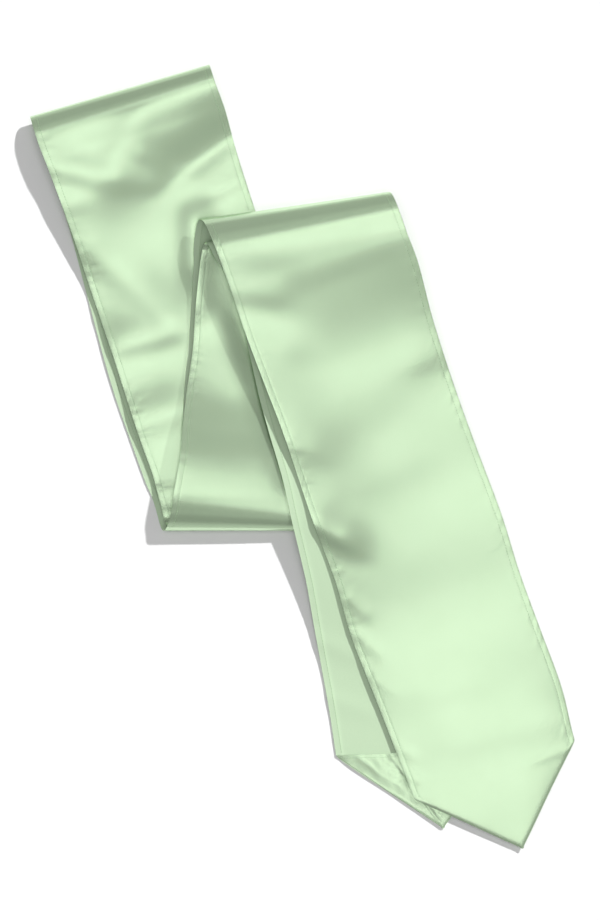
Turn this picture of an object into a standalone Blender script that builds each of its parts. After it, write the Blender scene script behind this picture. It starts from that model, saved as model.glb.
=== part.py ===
# Satin sash, doubled end to end and laid down in three folds on a flat surface
#
# One long strip of satin with narrow hems and a turned point at each end. It is doubled at its
# middle, so that both ends come together, and the doubled strip is folded twice more.
# From the front end to the back end the strip runs: front stretch, fold 1 outside, under middle
# stretch, fold 2 inside, upper loop stretch, middle fold, lower loop stretch, fold 2 outside,
# top middle stretch, fold 1 inside, back end stretch.
# +X is to the right and +Y to the top of the laid sash, +Z is up, and the origin is on the
# surface under the middle of its outline. Sizes are in millimetres until a mesh is made.

import math

import bmesh
import bpy
import numpy as np

NAME = "satin_sash"
MM = 0.001

# Cloth
STRIP_WIDTH = 152.0     # finished width across the hems
WALL = 1.0              # thickness of the cloth wall
HEM_WIDTH = 5.5         # turned and stitched hem along each long edge
HEM_STEP = 2.0          # run of the slope from hem to plain cloth
HEM_EXTRA = 0.6         # extra thickness of the hem, on the matt side
LAYER_AIR = 0.45        # air between one layer and the next
SEAM_GAP = 0.3          # between stretches, and under a turned point

# Mesh
PLAIN_COLUMNS = 7       # columns of the wall between the hems
ROW_LENGTH = 13.0       # longest row along the strip
ROW_TURN = 17.0         # degrees that a row may bend
TIP_ROWS = 8            # rows from the corners of a point to its tip
ROLL_ROWS = 5           # sections set round the roll of a fold
FINE_ROWS = 10          # each facet is read at this many places along the strip
FINE_COLUMNS = 16       # and at this many across it, where layers are laid on each other
TABLE_CELL = 1.5        # cell of the height map that the layers are laid on
TABLE_HALF = (246.0, 345.0)
FACING_SHARE = 0.97     # size of a turned-in facing against its point
SHINE = 0.35            # roughness of the satin

SATIN_FACE = (0.660, 0.840, 0.600)
MATT_FACE = (0.560, 0.720, 0.510)

# Sections of each stretch, in the order of the strip. A section runs from the left edge to the
# right edge of the strip. The heights are those of the satin face at the left edge, in the middle
# and at the right edge.
SECTION = ("left_x", "left_y", "right_x", "right_y", "left_z", "mid_z", "right_z")

FRONT_TIP = (179.0, -320.0, 182.0, -319.0, 3.4, 3.4, 3.4)

FRONT_STRETCH = (
    (91.0, -278.0, 223.0, -230.0, 7.4, 6.2, 2.9),
    (77.0, -241.0, 213.0, -189.0, 6.8, 5.8, 2.6),
    (40.0, -146.0, 178.0, -93.0, 6.8, 5.8, 2.6),
    (27.0, -101.0, 164.0, -48.0, 11.5, 9.0, 3.2),
    (8.0, -50.0, 145.0, 3.0, 17.6, 13.5, 4.5),
    (-5.0, -11.0, 131.0, 41.0, 19.6, 16.5, 5.5),
    (-18.0, 27.0, 118.0, 79.0, 20.4, 17.0, 6.0),
    (-31.0, 61.0, 110.0, 114.0, 20.6, 17.5, 7.5),
    (-50.0, 112.0, 93.0, 166.0, 22.8, 20.0, 13.0),
    (-59.0, 139.0, 86.0, 184.0, 25.0, 23.0, 19.0),
    (-66.0, 160.0, 83.0, 197.0, 27.0, 26.5, 24.5),
    (-74.0, 182.0, 80.0, 204.0, 27.4, 27.6, 27.0),
)

UNDER_MIDDLE_STRETCH = (
    (-89.0, 175.0, 66.0, 185.0, 7.0, 6.0, 4.6),
    (-89.0, 161.0, 64.0, 156.0, 5.8, 5.0, 2.4),
    (-91.0, 127.0, 61.0, 109.0, 5.2, 4.6, 0.8),
    (-94.0, 87.0, 58.0, 69.0, 5.5, 4.8, 0.8),
    (-97.0, 54.0, 55.0, 37.0, 7.2, 5.6, 1.0),
    (-98.0, 27.0, 53.0, 17.0, 11.6, 7.5, 2.0),
    (-100.0, 3.0, 51.0, -6.0, 15.5, 10.5, 3.0),
    (-102.0, -21.0, 47.0, -25.0, 16.0, 11.2, 5.4),
    (-105.0, -38.0, 43.0, -48.0, 13.5, 9.4, 5.8),
)

LOOP_STRETCH_TOP = (
    (-116.0, -40.0, 39.5, -46.0, 3.7, 3.7, 3.7),
    (-122.0, -16.0, 28.0, 3.0, 3.7, 3.7, 3.7),
    (-133.0, 15.0, 9.0, 63.0, 3.7, 3.8, 3.7),
    (-160.0, 98.0, -20.0, 145.0, 3.7, 3.9, 3.7),
    (-174.0, 139.0, -33.0, 186.0, 3.7, 4.2, 3.8),
    (-186.0, 176.0, -45.0, 223.0, 4.6, 5.2, 4.6),
    (-197.0, 207.0, -55.0, 255.0, 9.0, 9.0, 8.0),
    (-209.0, 239.0, -64.0, 288.0, 12.6, 12.8, 11.6),
    (-218.0, 264.0, -72.0, 311.0, 12.4, 12.6, 11.8),
    (-221.0, 272.0, -75.0, 317.0, 11.2, 11.4, 11.0),
)

LOOP_STRETCH_UNDER = (
    (-220.5, 270.5, -74.5, 315.5, 3.2, 3.2, 3.2),
    (-214.0, 254.0, -69.0, 299.0, 1.8, 1.8, 1.8),
    (-207.0, 235.0, -62.0, 279.0, 0.6, 0.6, 0.6),
    (-192.0, 191.0, -50.0, 234.0, 0.0, 0.0, 0.0),
    (-178.0, 139.0, -35.0, 182.0, 0.0, 0.0, 0.0),
    (-153.0, 49.0, -9.0, 92.0, 0.0, 0.0, 0.0),
    (-141.0, 15.0, 5.0, 52.0, 0.0, 0.0, 0.0),
    (-130.0, -16.0, 19.0, 11.0, 0.0, 0.0, 0.0),
    (-119.0, -46.0, 38.5, -51.0, 0.0, 0.0, 0.0),
)

TOP_MIDDLE_STRETCH = (
    (-107.0, -41.0, 43.0, -52.0, 17.2, 13.2, 9.4),
    (-106.0, -32.0, 45.0, -38.0, 19.3, 14.6, 9.8),
    (-103.0, -15.0, 48.0, -21.0, 20.0, 15.0, 9.7),
    (-100.0, 3.0, 51.0, -6.0, 19.3, 14.2, 9.0),
    (-98.0, 28.0, 54.0, 15.0, 15.4, 11.4, 7.4),
    (-95.0, 54.0, 56.0, 38.0, 11.2, 9.0, 6.0),
    (-90.0, 90.0, 59.0, 72.0, 9.3, 8.3, 4.8),
    (-88.0, 119.0, 63.0, 101.0, 9.0, 8.2, 4.8),
    (-85.0, 150.0, 66.0, 150.0, 10.4, 9.6, 7.6),
    (-82.5, 168.0, 68.5, 187.0, 12.0, 11.0, 9.4),
)

BACK_END_STRETCH = (
    (-73.0, 167.0, 79.0, 191.0, 20.8, 18.6, 15.0),
    (-60.0, 147.0, 86.0, 175.0, 19.0, 16.0, 10.5),
    (-53.0, 125.0, 91.0, 161.0, 16.5, 13.5, 7.0),
    (-43.0, 84.0, 100.0, 123.0, 12.6, 9.5, 3.2),
    (-35.0, 49.0, 109.0, 87.0, 13.2, 9.2, 1.4),
    (-27.0, 20.0, 117.0, 56.0, 14.0, 9.8, 0.8),
    (-16.0, -18.0, 128.0, 17.0, 14.8, 10.2, 0.5),
    (-9.0, -50.0, 136.0, -17.0, 13.2, 9.0, 0.3),
    (-3.0, -75.0, 143.0, -44.0, 9.2, 6.0, 0.2),
    (3.0, -101.0, 149.0, -72.0, 5.6, 3.6, 0.1),
    (9.0, -135.0, 155.0, -108.0, 2.0, 1.2, 0.0),
    (15.0, -168.0, 162.0, -143.0, 0.0, 0.0, 0.0),
    (22.0, -207.0, 169.0, -181.0, 0.0, 0.0, 0.0),
    (27.5, -243.0, 175.5, -217.0, 0.0, 0.0, 0.0),
)

BACK_TIP = (114.0, -303.0, 117.0, -302.0, 0.0, 0.0, 0.0)

# Furthest line of each roll, where the satin face turns over
FOLDS = {
    "fold_1_outside": (-83.5, 196.0, 72.0, 218.5, 16.0, 16.0, 16.0),
    "fold_2_inside": (-110.5, -53.5, 41.0, -53.5, 6.4, 5.8, 4.8),
    "middle_fold": (-223.0, 277.5, -76.5, 321.5, 7.4, 7.4, 7.4),
    "fold_2_outside": (-114.0, -59.0, 41.0, -59.0, 7.0, 5.8, 4.7),
    "fold_1_inside": (-80.5, 176.5, 70.0, 197.0, 16.2, 14.6, 12.2),
}

# The strip from end to end: stretches by name, each with the fold that follows it
ORDER = (
    ("front", FRONT_STRETCH, "fold_1_outside"),
    ("under_middle", UNDER_MIDDLE_STRETCH, "fold_2_inside"),
    ("loop_top", LOOP_STRETCH_TOP, "middle_fold"),
    ("loop_under", LOOP_STRETCH_UNDER, "fold_2_outside"),
    ("top_middle", TOP_MIDDLE_STRETCH, "fold_1_inside"),
    ("back_end", BACK_END_STRETCH, None),
)

# Laid from the bottom up, with the satin face up or down
LAID = (
    ("loop_under", "down"),
    ("loop_top", "up"),
    ("under_middle", "down"),
    ("top_middle", "up"),
    ("back_end", "down"),
    ("front", "up"),
)

# Large soft ridges of the two stretches that show whole: stretch, ends of the crest, half width
# and rise. A negative rise is a trough.
RIDGE = ("stretch", "x1", "y1", "x2", "y2", "half_width", "rise")
RIDGES = (
    ("loop_top", -182.0, 262.0, -88.0, 296.0, 16.0, 2.2),
    ("loop_top", -132.0, 244.0, -90.0, 228.0, 11.0, 1.8),
    ("loop_top", -174.0, 170.0, -118.0, 126.0, 12.0, 2.0),
    ("loop_top", -138.0, 86.0, -106.0, 98.0, 15.0, 1.6),
    ("front", -2.0, -6.0, 20.0, -15.0, 9.0, 2.0),
    ("front", 20.0, -56.0, 50.0, -82.0, 9.0, 3.0),
    ("front", 42.0, -116.0, 54.0, -128.0, 7.0, 1.2),
    ("front", 12.0, 152.0, 76.0, 114.0, 22.0, -2.5),
)


def clear_scene():
    """Remove the objects that the file opened with."""
    for thing in list(bpy.data.objects):
        bpy.data.objects.remove(thing, do_unlink=True)


def columns():
    """Places across the strip, 0 at the left edge and 1 at the right edge."""
    inner = HEM_WIDTH + HEM_STEP
    first_plain = inner + 13.0
    plain = np.linspace(first_plain, STRIP_WIDTH - first_plain, PLAIN_COLUMNS)
    edge = [0.0, HEM_WIDTH, inner]
    mirrored = [STRIP_WIDTH - value for value in reversed(edge)]
    return np.array(edge + list(plain) + mirrored) / STRIP_WIDTH


ACROSS = columns()
IN_HEM = np.minimum(ACROSS, 1.0 - ACROSS) * STRIP_WIDTH <= HEM_WIDTH + 0.01
HEM_WALL = WALL + HEM_EXTRA


def section_points(section):
    """Points of one section across the strip, from a row of a table."""
    row = dict(zip(SECTION, section))
    left = np.array((row["left_x"], row["left_y"]))
    right = np.array((row["right_x"], row["right_y"]))
    plan = left + ACROSS[:, None] * (right - left)
    low, mid, high = row["left_z"], row["mid_z"], row["right_z"]
    slope = 4.0 * mid - 3.0 * low - high
    curve = 2.0 * (low + high - 2.0 * mid)
    height = low + slope * ACROSS + curve * ACROSS ** 2
    return np.column_stack((plan, height))


def roll_points(before, apex, after):
    """Sections round the roll of a fold: half an ellipse that drifts along the fold line."""
    along = apex[-1, :2] - apex[0, :2]
    along = np.append(along / np.linalg.norm(along), 0.0)
    middle = 0.5 * (before + after)
    half = 0.5 * (before - after)
    reach = apex - middle
    for vector in (half, reach):
        vector -= np.outer(vector @ along, along)
    drift = (after - before) @ along
    sections = []
    for step in range(1, ROLL_ROWS + 1):
        turn = math.pi * step / (ROLL_ROWS + 1)
        point = middle + math.cos(turn) * half + math.sin(turn) * reach
        point += np.outer(drift * (turn / math.pi - 0.5), along)
        sections.append(point)
    return sections


def strip_sections():
    """All sections of the strip from corner to corner, and the first and last of each stretch."""
    sections = []
    span = {}
    for index, (name, table, fold) in enumerate(ORDER):
        points = [section_points(section) for section in table]
        span[name] = (len(sections), len(sections) + len(points) - 1)
        sections.extend(points)
        if fold is not None:
            after = section_points(ORDER[index + 1][1][0])
            sections.extend(roll_points(points[-1], section_points(FOLDS[fold]), after))
    return np.array(sections), span


def spline(sections, knots, places):
    """Smooth surface through the sections, read at places along the strip."""
    padded = np.concatenate((
        [2.0 * sections[0] - sections[1]], sections, [2.0 * sections[-1] - sections[-2]]))
    padded_knots = np.concatenate((
        [2.0 * knots[0] - knots[1]], knots, [2.0 * knots[-1] - knots[-2]]))
    found = np.clip(np.searchsorted(knots, places, side="right"), 1, len(knots) - 1)
    p0, p1, p2, p3 = (padded[found + shift] for shift in (-1, 0, 1, 2))
    t0, t1, t2, t3 = (padded_knots[found + shift][:, None, None] for shift in (-1, 0, 1, 2))
    t = np.asarray(places)[:, None, None]
    a1 = ((t1 - t) * p0 + (t - t0) * p1) / (t1 - t0)
    a2 = ((t2 - t) * p1 + (t - t1) * p2) / (t2 - t1)
    a3 = ((t3 - t) * p2 + (t - t2) * p3) / (t3 - t2)
    b1 = ((t2 - t) * a1 + (t - t0) * a2) / (t2 - t0)
    b2 = ((t3 - t) * a2 + (t - t1) * a3) / (t3 - t1)
    return ((t2 - t) * b1 + (t - t1) * b2) / (t2 - t1)


def section_knots(sections):
    """Distance along the strip of each section."""
    steps = np.linalg.norm(np.diff(sections, axis=0), axis=2).mean(axis=1)
    return np.concatenate(([0.0], np.cumsum(steps)))


def row_places(sections, knots, start, end):
    """Places of the rows between two places: long rows where the strip is flat, short on a roll."""
    fine = np.linspace(start, end, max(8, int((end - start) / 1.0)))
    lines = spline(sections, knots, fine)[:, [0, len(ACROSS) // 2, -1]]
    step = np.diff(lines, axis=0)
    length = np.linalg.norm(step, axis=2)
    heading = step / length[..., None]
    turn = np.degrees(np.arccos(np.clip((heading[1:] * heading[:-1]).sum(axis=2), -1.0, 1.0)))
    cost = length.mean(axis=1) / ROW_LENGTH
    cost[1:] += turn.max(axis=1) / ROW_TURN
    total = np.concatenate(([0.0], np.cumsum(cost)))
    rows = max(2, math.ceil(total[-1]))
    return np.interp(np.linspace(0.0, total[-1], rows + 1), total, fine)


def point_rows(corner_row, tip_row):
    """Rows of a turned point, from its tip to just before its corners."""
    shares = np.linspace(0.0, 1.0, TIP_ROWS + 1)[:-1]
    return np.array([tip_row + share * (corner_row - tip_row) for share in shares])


def add_ridges(rows, name):
    """Raise a stretch along its soft ridges and lower it along its troughs."""
    for ridge in RIDGES:
        row = dict(zip(RIDGE, ridge))
        if row["stretch"] != name:
            continue
        start = np.array((row["x1"], row["y1"]))
        crest = np.array((row["x2"], row["y2"])) - start
        length = np.linalg.norm(crest)
        offset = rows[..., :2] - start
        along = offset @ crest / length ** 2
        beside = (offset[..., 0] * crest[1] - offset[..., 1] * crest[0]) / length
        ends = np.clip(np.maximum(-along, along - 1.0), 0.0, None) * length / row["half_width"]
        rows[..., 2] += row["rise"] * np.exp(-(beside / row["half_width"]) ** 2 - ends ** 2)


class TableTop:
    """Height of all that lies on the surface so far, on a square grid."""

    def __init__(self):
        self.low = -np.array(TABLE_HALF)
        self.height = np.zeros((2 * np.array(TABLE_HALF) / TABLE_CELL).astype(int) + 1)

    def cells(self, points):
        """Grid cells of points in the plan."""
        place = np.round((points[..., :2] - self.low) / TABLE_CELL).astype(int)
        return np.clip(place, 0, np.array(self.height.shape) - 1)

    def lay(self, rows):
        """Add the upper face of a laid stretch."""
        fine = refine(rows)
        cell = self.cells(fine)
        np.maximum.at(self.height, (cell[..., 0], cell[..., 1]), fine[..., 2])

    def under(self, points):
        """Highest thing within one cell of each point."""
        cell = self.cells(points)
        near = np.zeros(cell.shape[:-1])
        for shift_x in (-1, 0, 1):
            for shift_y in (-1, 0, 1):
                x = np.clip(cell[..., 0] + shift_x, 0, self.height.shape[0] - 1)
                y = np.clip(cell[..., 1] + shift_y, 0, self.height.shape[1] - 1)
                near = np.maximum(near, self.height[x, y])
        return near


def refine(rows):
    """The flat facets of a stretch, read on a finer grid."""
    share = np.linspace(0.0, 1.0, FINE_ROWS + 1)[:-1, None, None, None]
    along = rows[None, :-1] + share * (rows[None, 1:] - rows[None, :-1])
    along = np.swapaxes(along, 0, 1).reshape(-1, rows.shape[1], 3)
    along = np.concatenate((along, rows[-1:]))
    share = np.linspace(0.0, 1.0, FINE_COLUMNS + 1)[:-1, None, None, None]
    across = along[None, :, :-1] + share * (along[None, :, 1:] - along[None, :, :-1])
    across = np.moveaxis(across, 0, 2).reshape(along.shape[0], -1, 3)
    return np.concatenate((across, along[:, -1:]), axis=1)


def lift_needed(rows, table, below):
    """How far each point of a stretch must rise to lie on what is under it."""
    fine = refine(rows)
    under = table.under(fine)
    air = np.where(under > 0.0, LAYER_AIR, 0.0)
    reach = np.maximum(under + air + below - fine[..., 2], 0.0)
    count = rows.shape[0] - 1, rows.shape[1] - 1
    facet = reach[:-1, :-1].reshape(count[0], FINE_ROWS, count[1], FINE_COLUMNS).max(axis=(1, 3))
    padded = np.pad(facet, 1)
    corners = (padded[:-1, :-1], padded[1:, :-1], padded[:-1, 1:], padded[1:, 1:])
    lift = np.maximum.reduce(corners)
    for _ in range(3):
        wide = np.pad(lift, 1, mode="edge")
        blur = (wide[:-2, 1:-1] + wide[2:, 1:-1] + wide[1:-1, :-2] + wide[1:-1, 2:]) / 4.0
        lift = np.maximum(lift, blur)
    return lift


def lay_strip():
    """Rows of every stretch and every roll, each laid on what is under it."""
    sections, span = strip_sections()
    knots = section_knots(sections)
    rows = {}
    for index, (name, _table, fold) in enumerate(ORDER):
        first, last = span[name]
        places = row_places(sections, knots, knots[first], knots[last])
        rows[name] = spline(sections, knots, places)
        add_ridges(rows[name], name)
        rows[name][..., 2] = np.maximum(rows[name][..., 2], 0.0)
        if fold is not None:
            end = knots[span[ORDER[index + 1][0]][0]]
            places = row_places(sections, knots, knots[last], end)
            rows[fold] = spline(sections, knots, places)
    rows["front"] = np.concatenate((
        point_rows(rows["front"][0], section_points(FRONT_TIP)), rows["front"]))
    rows["back_end"] = np.concatenate((
        rows["back_end"], point_rows(rows["back_end"][-1], section_points(BACK_TIP))[::-1]))

    table = TableTop()
    laid = set()
    for name, satin in LAID:
        below, above = (HEM_WALL, 0.0) if satin == "up" else (0.0, HEM_WALL)
        rows[name][..., 2] += lift_needed(rows[name], table, below)
        table.lay(rows[name] + (0.0, 0.0, above))
        laid.add(name)
        for index, (before, _table, fold) in enumerate(ORDER):
            after = ORDER[(index + 1) % len(ORDER)][0]
            if fold is None or fold in laid or not {before, after} <= laid:
                continue
            join_roll(rows, before, fold, after)
            outward = HEM_WALL if fold.endswith("inside") else 0.0
            table.lay(rows[fold] + (0.0, 0.0, outward))
            laid.add(fold)
    return centred(rows)


def join_roll(rows, before, fold, after):
    """Carry the heights of the two stretches that a roll joins through the roll."""
    share = np.linspace(0.0, 1.0, len(rows[fold]))[:, None]
    first = rows[before][-1, :, 2] - rows[fold][0, :, 2]
    last = rows[after][0, :, 2] - rows[fold][-1, :, 2]
    rows[fold][..., 2] += first * (1.0 - share) + last * share


def centred(rows):
    """Put the middle of the outline on the origin."""
    every = np.concatenate([run.reshape(-1, 3) for run in rows.values()])
    middle = 0.5 * (every.min(axis=0) + every.max(axis=0))
    return {name: run - (middle[0], middle[1], 0.0) for name, run in rows.items()}


def trimmed(rows, at_start, at_end):
    """Rows with half a seam gap taken off an end that meets another stretch."""
    rows = rows.copy()
    for wanted, edge, inner in ((at_start, 0, 1), (at_end, -1, -2)):
        if wanted:
            step = rows[inner] - rows[edge]
            length = np.linalg.norm(step, axis=1)[:, None]
            rows[edge] += step / length * (0.5 * SEAM_GAP)
    return rows


def satin_material(name, colour):
    """Plain satin with its own colour and shine."""
    material = bpy.data.materials.new(name)
    material.use_nodes = True
    shader = material.node_tree.nodes["Principled BSDF"]
    shader.inputs["Base Color"].default_value = (*colour, 1.0)
    shader.inputs["Roughness"].default_value = SHINE
    shader.inputs["Metallic"].default_value = 0.0
    material.diffuse_color = (*colour, 1.0)
    return material


def cloth_object(name, rows, hem_rows, material, collection):
    """A cloth wall on a grid of points, its satin face on the grid and the wall behind it."""
    count_along, count_across = rows.shape[0] - 1, rows.shape[1] - 1
    mesh = bpy.data.meshes.new(name)
    grid = bmesh.new()
    bmesh.ops.create_grid(grid, x_segments=count_across, y_segments=count_along, size=0.5)
    thick = []
    for vertex in grid.verts:
        column = round((vertex.co.x + 0.5) * count_across)
        row = round((vertex.co.y + 0.5) * count_along)
        vertex.co = rows[row, column] * MM
        if hem_rows[row] and IN_HEM[column]:
            thick.append(vertex.index)
    grid.to_mesh(mesh)
    grid.free()
    mesh.shade_smooth()
    mesh.materials.append(material)

    cloth = bpy.data.objects.new(name, mesh)
    collection.objects.link(cloth)
    hem = cloth.vertex_groups.new(name="hem")
    hem.add(thick, 1.0, "REPLACE")
    wall = cloth.modifiers.new("wall", "SOLIDIFY")
    wall.thickness = HEM_WALL * MM
    wall.offset = -1.0
    wall.use_even_offset = True
    wall.vertex_group = hem.name
    wall.thickness_vertex_group = WALL / HEM_WALL
    return cloth


def surface_normals(rows):
    """Direction of the satin face at each point of a grid."""
    along = np.gradient(rows, axis=0)
    across = np.gradient(rows, axis=1)
    normal = np.cross(across, along)
    return normal / np.linalg.norm(normal, axis=2)[..., None]


def point_facing(rows):
    """Rows of the cloth turned in at a point: the point's own rows, drawn in and moved out."""
    behind = rows - surface_normals(rows) * (WALL + SEAM_GAP)
    centre = behind.mean(axis=(0, 1))
    plan = behind[..., :2] - centre[:2]
    behind[..., :2] = centre[:2] + plan * FACING_SHARE
    return behind


def build_sash():
    """Make the collection, the stretches and the turned points."""
    clear_scene()
    collection = bpy.data.collections.new(NAME)
    bpy.context.scene.collection.children.link(collection)
    rows = lay_strip()

    pieces = (
        ("front_stretch", ("front", "fold_1_outside"), False, True, SATIN_FACE),
        ("under_middle_stretch", ("under_middle", "fold_2_inside"), True, True, MATT_FACE),
        ("loop_stretch_top", ("loop_top", "middle_fold"), True, True, SATIN_FACE),
        ("loop_stretch_under", ("loop_under",), True, True, MATT_FACE),
        ("top_middle_stretch", ("fold_2_outside", "top_middle"), True, True, SATIN_FACE),
        ("back_end_stretch", ("fold_1_inside", "back_end"), True, False, MATT_FACE),
    )
    for name, joined, seam_first, seam_last, colour in pieces:
        run = rows[joined[0]]
        if len(joined) > 1:
            run = np.concatenate((run, rows[joined[1]][1:]))
        run = trimmed(run, seam_first, seam_last)
        hem_rows = np.ones(len(run), dtype=bool)
        if name == "front_stretch":
            hem_rows[:TIP_ROWS + 2] = False
        if name == "back_end_stretch":
            hem_rows[-TIP_ROWS - 2:] = False
        material = satin_material(name, colour)
        cloth_object(name, run, hem_rows, material, collection)

    facings = (
        ("front_point_facing", rows["front"][:TIP_ROWS + 1]),
        ("back_point_facing", rows["back_end"][-TIP_ROWS - 1:]),
    )
    for name, run in facings:
        material = satin_material(name, SATIN_FACE)
        cloth_object(name, point_facing(run), np.zeros(len(run), dtype=bool), material, collection)


build_sash()
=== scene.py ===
# Mint green satin sash, doubled end to end and laid down in three loose folds
import math

import bmesh
import bpy
import numpy as np
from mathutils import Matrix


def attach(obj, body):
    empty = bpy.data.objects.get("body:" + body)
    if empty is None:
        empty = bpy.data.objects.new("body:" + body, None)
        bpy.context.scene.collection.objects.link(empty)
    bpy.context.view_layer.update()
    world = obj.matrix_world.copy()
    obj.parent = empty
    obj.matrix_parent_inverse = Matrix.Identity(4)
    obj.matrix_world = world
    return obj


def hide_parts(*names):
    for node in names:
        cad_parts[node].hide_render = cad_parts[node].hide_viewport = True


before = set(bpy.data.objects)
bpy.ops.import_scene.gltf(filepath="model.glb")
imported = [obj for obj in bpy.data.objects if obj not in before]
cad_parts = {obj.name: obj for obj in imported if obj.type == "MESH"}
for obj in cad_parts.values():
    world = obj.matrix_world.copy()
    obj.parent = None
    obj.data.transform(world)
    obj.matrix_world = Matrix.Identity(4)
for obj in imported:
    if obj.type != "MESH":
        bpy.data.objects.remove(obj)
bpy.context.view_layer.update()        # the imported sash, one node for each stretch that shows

millimetre = 0.001

# The photo is 600 x 920 pixels, taken from straight above; sizes here are in millimetres
photo = dict(height=920, pixelSize=0.82, cameraHeight=12000.0, middle=(-2.2, -1.8))

# The strip of satin, in millimetres
strip = dict(
    width=152.0,         # finished, hem edge to hem edge
    wall=0.45,           # one layer, a little thicker than real so that its edge shows
    hemWall=0.8,         # the hem is turned twice
    hemWidth=5.5,
    hemEase=(0.4, 1.6),  # its thickness goes from before the stitching to past the turned edge
    stitchLine=4.9,      # from the edge
    air=0.35,            # between layers that touch
    rowStep=1.9,
    fineStep=0.4,        # the rows are measured out in steps of this
    columnStep=3.3,
    rowTurn=6.0,         # degrees a row may bend on a roll
    sharpAngle=48.0,     # degrees, only the cut edges of the cloth are sharper
)


def waves(along, across, seed, lengths, count=9):
    # a sum of slow sines with fixed phases, about -1 to 1
    rng = np.random.default_rng(seed)
    total = np.zeros(np.broadcast(along, across).shape)
    for _ in range(count):
        waveLength = rng.uniform(*lengths)
        heading = rng.uniform(-1.0, 1.0)
        phase = rng.uniform(0.0, 2.0 * math.pi)
        run = along * math.cos(heading) + across * math.sin(heading)
        total += np.sin(2.0 * math.pi * run / waveLength + phase)
    return total / math.sqrt(count)


# Columns: close together in the hem, wider apart on plain cloth, in mm from the left edge
def columnPlaces():
    hem = [0.0, 0.3, 0.9, 2.0, 3.2, 4.1, 4.6, strip["stitchLine"], 5.2, 5.6, 6.4, 8.0, 10.4, 13.2]
    plain = np.arange(hem[-1], strip["width"] / 2.0, strip["columnStep"])[1:]
    half = np.array(hem + list(plain))
    return np.concatenate((half, [strip["width"] / 2.0], strip["width"] - half[::-1]))


across = columnPlaces()
share = across / strip["width"]
fromEdge = np.minimum(across, strip["width"] - across)
thinning = strip["stitchLine"] - strip["hemEase"][0], strip["hemWidth"] + strip["hemEase"][1]
hemWeight = np.interp(fromEdge, thinning, (1.0, 0.0))
walls = strip["wall"] + (strip["hemWall"] - strip["wall"]) * hemWeight
stitchColumn = int(np.argmin(np.abs(across - strip["stitchLine"])))

# The stretches, from the front tip through the folds to the back tip.
# Sections from edge to edge: left x and y, right x and y, then the height of the satin face at
# the left edge, in the middle and at the right edge.
# Beyond: the section at the tip, had the strip stayed wide; tip share: where the tip is on it.
# Fold line: the outermost line of the roll, given like a section.
# Creases: from x, y to x, y, half width on their left and on their right, rise.
frontStretch = dict(
    node="front_stretch", slot="satin_face", satin="up",
    beyond=(114.8, -343.4, 246.8, -295.4, 3.4, 3.3, 3.0), tipShare=0.498,
    sections=(
        (91, -278, 223, -230, 3.6, 4.3, 2.6),
        (77, -241, 213, -189, 3.2, 4.4, 2.8),
        (58.5, -193.5, 195.5, -141, 2.9, 4.5, 3.4),
        (40, -146, 178, -93, 4.6, 5.8, 5.1),
        (27, -101, 164, -48, 8.6, 8.3, 7.4),
        (8, -50, 145, 3, 13.8, 10.5, 8.9),
        (-5, -11, 131, 41, 17.2, 13.0, 11.2),
        (-18, 27, 118, 79, 19.4, 15.7, 13.0),
        (-31, 61, 107, 114, 20.8, 17.4, 16.8),
        (-50, 112, 93, 166, 23.0, 22.7, 23.9),
        (-59, 139, 86, 184, 25.0, 25.9, 26.3),
        (-69.5, 168, 81.5, 197, 27.2, 27.6, 27.0),
    ),
    foldAfter=dict(name="outerFoldOne", line=(-83.5, 196, 72, 218.5, 18.6, 18.6, 18.4)),
    creases=(
        (-4, 13, 4, 10, 24, 12, 0.9),
        (32, -24, 74, -6, 26, 22, 0.6),
        (15, -56, 30, -64, 20, 9, 2.4),
        (-58, 138, -27, 134, 14, 11, 0.5),
        (-42, 95, -16, 91, 16, 12, 0.45),
        (98, 82, 118, 88, 16, 12, 0.45),
        (80, -190, 137, -182, 30, 22, 0.9),
        (137, -227, 195, -211, 26, 20, 1.0),
        (40, -116, 50, -126, 6, 5, 0.25),
        (48, -147, 62, -159, 6, 5, 0.28),
        (62, -182, 70, -188, 5, 5, 0.2),
        (82, -239, 89, -243, 4, 4, 0.2),
        (89, -261, 95, -264, 4, 4, 0.2),
        (220, -237, 190, -248, 4, 4, 0.2),
        (195, -260, 184, -305, 14, 20, 0.4),
    ),
)

underMiddle = dict(
    node="under_middle_stretch", slot="matt_back", satin="down",
    sections=(
        (-89, 175, 66, 185, 7.0, 6.0, 4.6),
        (-89, 161, 64, 156, 5.8, 5.0, 2.4),
        (-91, 127, 61, 109, 5.2, 4.6, 0.8),
        (-94, 87, 58, 69, 5.5, 4.8, 0.8),
        (-97, 54, 55, 37, 7.2, 5.6, 1.0),
        (-98, 27, 53, 17, 11.6, 7.5, 2.0),
        (-100, 3, 51, -6, 15.5, 10.5, 3.0),
        (-102, -21, 47, -25, 16.0, 11.2, 5.4),
        (-105, -38, 43, -48, 13.5, 9.4, 5.8),
    ),
    foldAfter=dict(name="innerFoldTwo", line=(-110.5, -53.5, 41, -53.5, 6.4, 5.8, 4.8)),
    creases=(
        (-70, 120, 10, 96, 15, 11, 0.8),
        (-60, 60, 30, 62, 12, 16, 0.9),
    ),
)

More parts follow.
